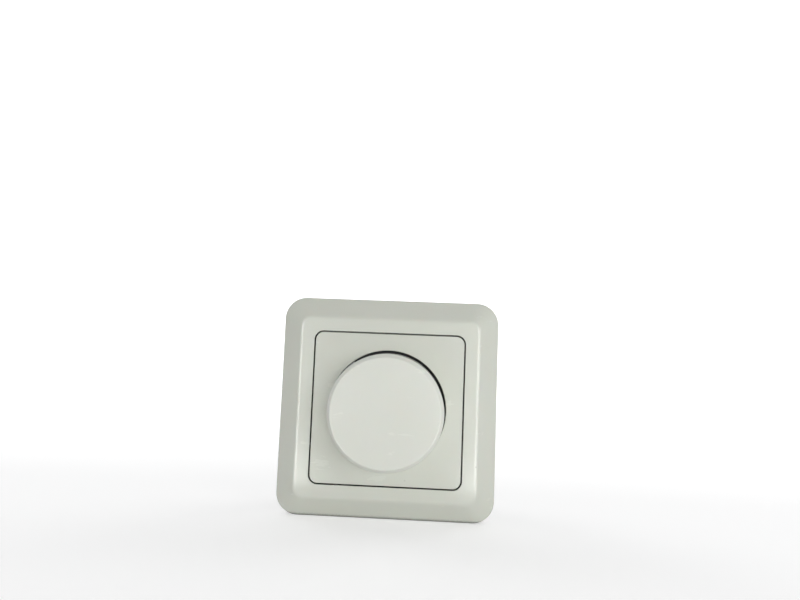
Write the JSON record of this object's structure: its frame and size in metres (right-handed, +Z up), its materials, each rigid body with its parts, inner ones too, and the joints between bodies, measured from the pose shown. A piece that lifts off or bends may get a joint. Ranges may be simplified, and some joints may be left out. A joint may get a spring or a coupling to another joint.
{
  "type": "rotary dimmer switch",
  "caption": "Square flush wall dimmer: bevelled surround frame, flat centre plate and a large round press-and-turn knob on a box insert with claws and screw terminals.",
  "frame": {"origin": "on the wall surface, at the bottom middle of the frame's back rim, 1 mm up from its lower edge; the knob's axis is 39.25 mm above it", "axes": "+Z up the wall, -Y out of the wall along the knob's axis towards the user, +X to the right seen from the front; +Y into the wall box"},
  "size_m": [0.0804, 0.0474, 0.0805],
  "materials": {
    "white_plastic": "satin white plastic",
    "black_plastic": "matt black thermoset",
    "grey_plastic": "natural plastic",
    "zinc_steel": "zinc plated steel",
    "spring_steel": "spring steel",
    "brass": "bare brass",
    "copper_wire": "enamelled copper wire",
    "board_laminate": "paper laminate board",
    "ferrite": "ferrite",
    "fuse_glass": "glass tube with metal caps",
    "capacitor_box": "yellow capacitor box",
    "resistor_body": "resistor enamel"
  },
  "bodies": {
    "base": {"surround_frame": "white_plastic", "centre_plate": "white_plastic", "lock_washer": "spring_steel", "fuse_clip_left": "spring_steel", "fuse_clip_right": "spring_steel", "return_spring": "spring_steel", "potentiometer_body": "grey_plastic", "triac_insulator": "grey_plastic", "support_plate": "zinc_steel", "bush_nut": "zinc_steel", "cover_screw_upper": "zinc_steel", "cover_screw_lower": "zinc_steel", "triac_screw": "zinc_steel", "front_cover": "black_plastic", "insert_housing": "black_plastic", "triac": "black_plastic", "switch_housing": "black_plastic", "resistive_track": "board_laminate", "circuit_board": "board_laminate", "track_pin_1": "brass", "track_pin_2": "brass", "track_pin_3": "brass", "fixed_contact_right": "brass", "fixed_contact_left": "brass", "terminal_strip_1": "brass", "terminal_strip_2": "brass", "terminal_strip_3": "brass", "fuse_link": "fuse_glass", "choke_core": "ferrite", "choke_winding": "copper_wire", "suppression_capacitor": "capacitor_box", "timing_capacitor": "capacitor_box", "filter_capacitor": "capacitor_box", "resistor_timing": "resistor_body", "resistor_trigger": "resistor_body", "resistor_snubber": "resistor_body", "diac": "resistor_body"},
    "push_carriage": {"switch_plunger": "white_plastic", "contact_bridge": "brass"},
    "knob": {"rotary_knob": "white_plastic", "knob_grip_spring": "spring_steel", "control_shaft": "grey_plastic", "shaft_retaining_ring": "spring_steel"},
    "wiper": {"wiper_carrier": "grey_plastic", "wiper_contact": "brass"},
    "right_claw_screw": {"claw_screw_right": "zinc_steel"},
    "right_claw_nut": {"claw_nut_right": "zinc_steel"},
    "right_claw": {"claw_right": "zinc_steel"},
    "left_claw_screw": {"claw_screw_left": "zinc_steel"},
    "left_claw_nut": {"claw_nut_left": "zinc_steel"},
    "left_claw": {"claw_left": "zinc_steel"},
    "terminal_1_screw": {"terminal_screw_1": "zinc_steel"},
    "terminal_1_clamp": {"terminal_clamp_1": "zinc_steel"},
    "terminal_2_screw": {"terminal_screw_2": "zinc_steel"},
    "terminal_2_clamp": {"terminal_clamp_2": "zinc_steel"},
    "terminal_3_screw": {"terminal_screw_3": "zinc_steel"},
    "terminal_3_clamp": {"terminal_clamp_3": "zinc_steel"}
  },
  "joints": [
    {"name": "knob_push", "type": "slide", "parent": "base", "child": "push_carriage", "axis": [0, 1, 0], "range_m": [0, 0.0016], "stiffness_N_per_m": 400, "springref_m": -0.0015, "deforming": ["return_spring"]},
    {"name": "knob_turn", "type": "hinge", "parent": "push_carriage", "child": "knob", "pos_m": [0, 0, 0.03925], "axis": [0, 1, 0], "range_deg": [-145, 145]},
    {"name": "wiper_turn", "type": "hinge", "parent": "base", "child": "wiper", "pos_m": [0, 0, 0.03925], "axis": [0, 1, 0], "range_deg": [-145, 145]},
    {"name": "right_claw_nut_travel", "type": "slide", "parent": "base", "child": "right_claw_nut", "axis": [0, -1, 0], "range_m": [0, 0.0065]},
    {"name": "right_claw_screw_turn", "type": "hinge", "parent": "base", "child": "right_claw_screw", "pos_m": [0.0252, 0, 0.04625], "axis": [0, 1, 0], "range_deg": [0, 4680.5]},
    {"name": "right_claw_spread", "type": "slide", "parent": "base", "child": "right_claw", "axis": [0.4195, -0.9078, 0], "range_m": [0, 0.00717]},
    {"name": "left_claw_nut_travel", "type": "slide", "parent": "base", "child": "left_claw_nut", "axis": [0, -1, 0], "range_m": [0, 0.0065]},
    {"name": "left_claw_screw_turn", "type": "hinge", "parent": "base", "child": "left_claw_screw", "pos_m": [-0.0252, 0, 0.03225], "axis": [0, 1, 0], "range_deg": [0, 4680.5]},
    {"name": "left_claw_spread", "type": "slide", "parent": "base", "child": "left_claw", "axis": [-0.4195, -0.9078, 0], "range_m": [0, 0.00717]},
    {"name": "terminal_1_clamp_rise", "type": "slide", "parent": "base", "child": "terminal_1_clamp", "axis": [0, 1, 0], "range_m": [0, 0.0025]},
    {"name": "terminal_1_screw_turn", "type": "hinge", "parent": "base", "child": "terminal_1_screw", "pos_m": [-0.009, 0, 0.02295], "axis": [0, -1, 0], "range_deg": [0, 1800.5]},
    {"name": "terminal_2_clamp_rise", "type": "slide", "parent": "base", "child": "terminal_2_clamp", "axis": [0, 1, 0], "range_m": [0, 0.0025]},
    {"name": "terminal_2_screw_turn", "type": "hinge", "parent": "base", "child": "terminal_2_screw", "pos_m": [0, 0, 0.02295], "axis": [0, -1, 0], "range_deg": [0, 1800.5]},
    {"name": "terminal_3_clamp_rise", "type": "slide", "parent": "base", "child": "terminal_3_clamp", "axis": [0, 1, 0], "range_m": [0, 0.0025]},
    {"name": "terminal_3_screw_turn", "type": "hinge", "parent": "base", "child": "terminal_3_screw", "pos_m": [0.009, 0, 0.02295], "axis": [0, -1, 0], "range_deg": [0, 1800.5]}
  ],
  "couplings": [
    {"joint": "wiper_turn", "follows": "knob_turn", "ratio": 1},
    {"joint": "right_claw_screw_turn", "follows": "right_claw_nut_travel", "rad_per_m": 12566},
    {"joint": "right_claw_spread", "follows": "right_claw_nut_travel", "ratio": 1.1016},
    {"joint": "left_claw_screw_turn", "follows": "left_claw_nut_travel", "rad_per_m": 12566},
    {"joint": "left_claw_spread", "follows": "left_claw_nut_travel", "ratio": 1.1016},
    {"joint": "terminal_1_screw_turn", "follows": "terminal_1_clamp_rise", "rad_per_m": 12566},
    {"joint": "terminal_2_screw_turn", "follows": "terminal_2_clamp_rise", "rad_per_m": 12566},
    {"joint": "terminal_3_screw_turn", "follows": "terminal_3_clamp_rise", "rad_per_m": 12566}
  ]
}
